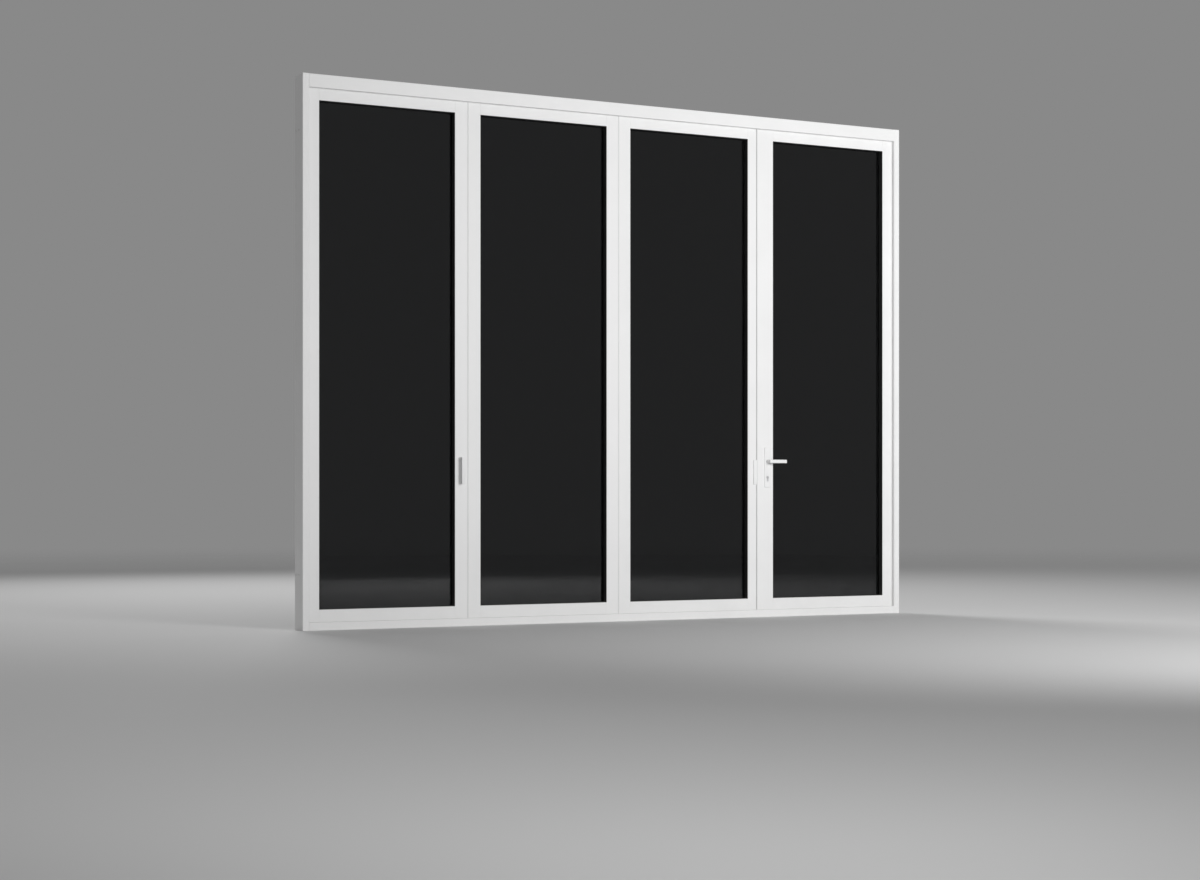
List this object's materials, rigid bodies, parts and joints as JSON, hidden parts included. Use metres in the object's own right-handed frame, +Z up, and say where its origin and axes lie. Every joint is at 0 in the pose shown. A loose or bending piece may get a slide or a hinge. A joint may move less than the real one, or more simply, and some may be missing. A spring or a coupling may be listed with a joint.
{
  "type": "bi-fold door set",
  "caption": "White aluminium bi-fold door set with tall glazed leaves: folding leaves that stack to the left and a hinged access leaf with a lever handle on the right.",
  "frame": {"origin": "on the floor under the middle of the sill, at the middle of the frame's depth", "axes": "+X along the width, to the right seen from the room; +Y out of the room; +Z up"},
  "size_m": [3.98, 0.164, 3],
  "materials": {
    "white_coat": "satin",
    "glass": "gloss",
    "black_rubber": "matte",
    "grey_rubber": "matte",
    "mill_aluminium": "satin",
    "steel": "satin",
    "black_plastic": "satin"
  },
  "bodies": {
    "frame": {"left_jamb": "white_coat", "right_jamb": "white_coat", "head": "white_coat", "head_track_walls": "white_coat", "roller_rails": "mill_aluminium", "sill": "white_coat", "sill_guide_walls": "white_coat", "front_stops": "white_coat", "roller_hanger": "steel", "hanger_wheels": "black_plastic", "bottom_guide": "black_plastic", "leaf_1_stiles": "white_coat", "leaf_1_rails": "white_coat", "leaf_1_glass": "glass", "leaf_1_beads": "white_coat", "leaf_1_gaskets": "black_rubber", "leaf_2_stiles": "white_coat", "leaf_2_rails": "white_coat", "leaf_2_glass": "glass", "leaf_2_beads": "white_coat", "leaf_2_gaskets": "black_rubber", "leaf_3_stiles": "white_coat", "leaf_3_rails": "white_coat", "leaf_3_glass": "glass", "leaf_3_beads": "white_coat", "leaf_3_gaskets": "black_rubber", "fold_joint_seals": "grey_rubber", "left_jamb_hinges": "white_coat", "fold_hinges": "white_coat", "concealed_hinges": "steel", "access_hinge_frame_flaps": "white_coat", "access_hinge_pins": "steel", "fold_pull_handle": "white_coat", "bolt_handle": "white_coat"},
    "access_door": {"leaf_4_lock_stile": "white_coat", "leaf_4_hinge_stile": "white_coat", "leaf_4_rails": "white_coat", "leaf_4_glass": "glass", "leaf_4_beads": "white_coat", "leaf_4_gaskets": "black_rubber", "lock_astragal": "white_coat", "lock_seal": "grey_rubber", "lock_faceplate": "steel", "room_escutcheon": "white_coat", "outer_escutcheon": "white_coat", "key_cylinder": "steel", "access_hinge_leaf_flaps": "white_coat"},
    "lever_set": {"room_lever": "white_coat", "outer_lever": "white_coat", "lever_spindle": "steel"}
  },
  "joints": [
    {"name": "access_door_swing", "type": "hinge", "parent": "frame", "child": "access_door", "pos_m": [1.955, 0.0435, 1.5], "axis": [0, 0, -1], "range_deg": [0, 90]},
    {"name": "lever_turn", "type": "hinge", "parent": "access_door", "child": "lever_set", "pos_m": [1.022, 0.0005, 0.934], "axis": [0, 1, 0], "range_deg": [0, 45], "stiffness_Nm_per_rad": 2.5}
  ]
}
